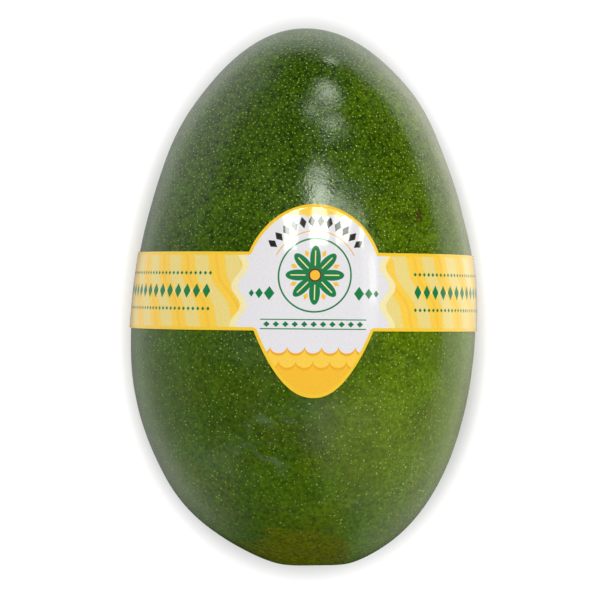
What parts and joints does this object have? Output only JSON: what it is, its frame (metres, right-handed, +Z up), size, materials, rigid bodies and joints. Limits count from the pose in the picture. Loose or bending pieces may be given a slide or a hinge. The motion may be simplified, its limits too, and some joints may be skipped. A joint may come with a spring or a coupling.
{
  "type": "mango",
  "caption": "Whole ripe-green mango lying on its broad cheek, with a die-cut paper label band stuck round its middle.",
  "frame": {"origin": "middle of the fruit's box, on the plane it rests on", "axes": "+Z up from the resting spot, +Y along the fruit from its stem to its tip, +X towards its beak side"},
  "size_m": [0.0945, 0.1442, 0.0847],
  "materials": {
    "skin": "satin",
    "label_paper": "gloss"
  },
  "bodies": {
    "root": {"mango": "skin", "label_band": "label_paper"}
  },
  "joints": []
}
